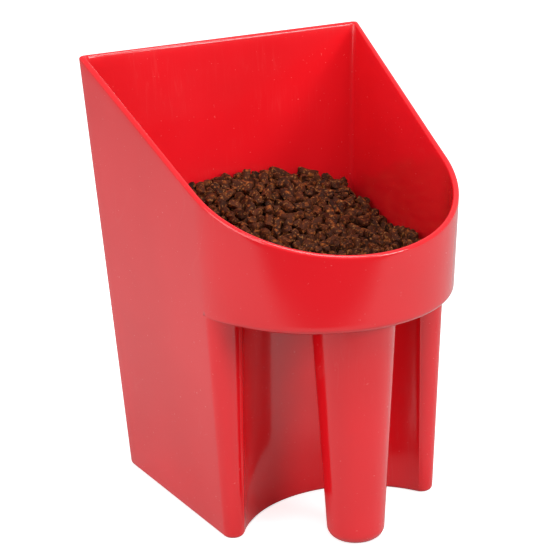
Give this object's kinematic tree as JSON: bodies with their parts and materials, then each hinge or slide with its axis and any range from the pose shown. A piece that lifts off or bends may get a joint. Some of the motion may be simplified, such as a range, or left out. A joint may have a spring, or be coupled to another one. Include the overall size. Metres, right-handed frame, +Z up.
{
  "type": "feed scoop",
  "caption": "One-piece plastic feed scoop with a flat back, slanted rim, rounded front and a tapered grip standing in a finger bay, holding loose feed pellets.",
  "frame": {"origin": "centre of the footprint box of the standing scoop, on the surface it stands on", "axes": "+Z up, -Y toward the grip and the low front of the rim, +Y toward the tall flat back wall, +X to the right when facing the back wall from the grip side"},
  "size_m": [0.1492, 0.164, 0.21],
  "materials": {
    "scoop_red": "gloss moulded red plastic",
    "feed_brown": "dry compressed pellets"
  },
  "bodies": {
    "scoop": {"back_wall": "scoop_red", "left_side_wall": "scoop_red", "right_side_wall": "scoop_red", "front_apron": "scoop_red", "grip_shelf": "scoop_red", "left_corner_post": "scoop_red", "right_corner_post": "scoop_red", "bay_wall": "scoop_red", "bottom_plate": "scoop_red", "grip_post": "scoop_red"},
    "feed": {"feed_heap": "feed_brown", "grip_feed": "feed_brown"}
  },
  "joints": [
    {"name": "feed_lift_out", "type": "slide", "parent": "scoop", "child": "feed", "axis": [0, 0, 1], "range_m": [0, 0.2]}
  ]
}
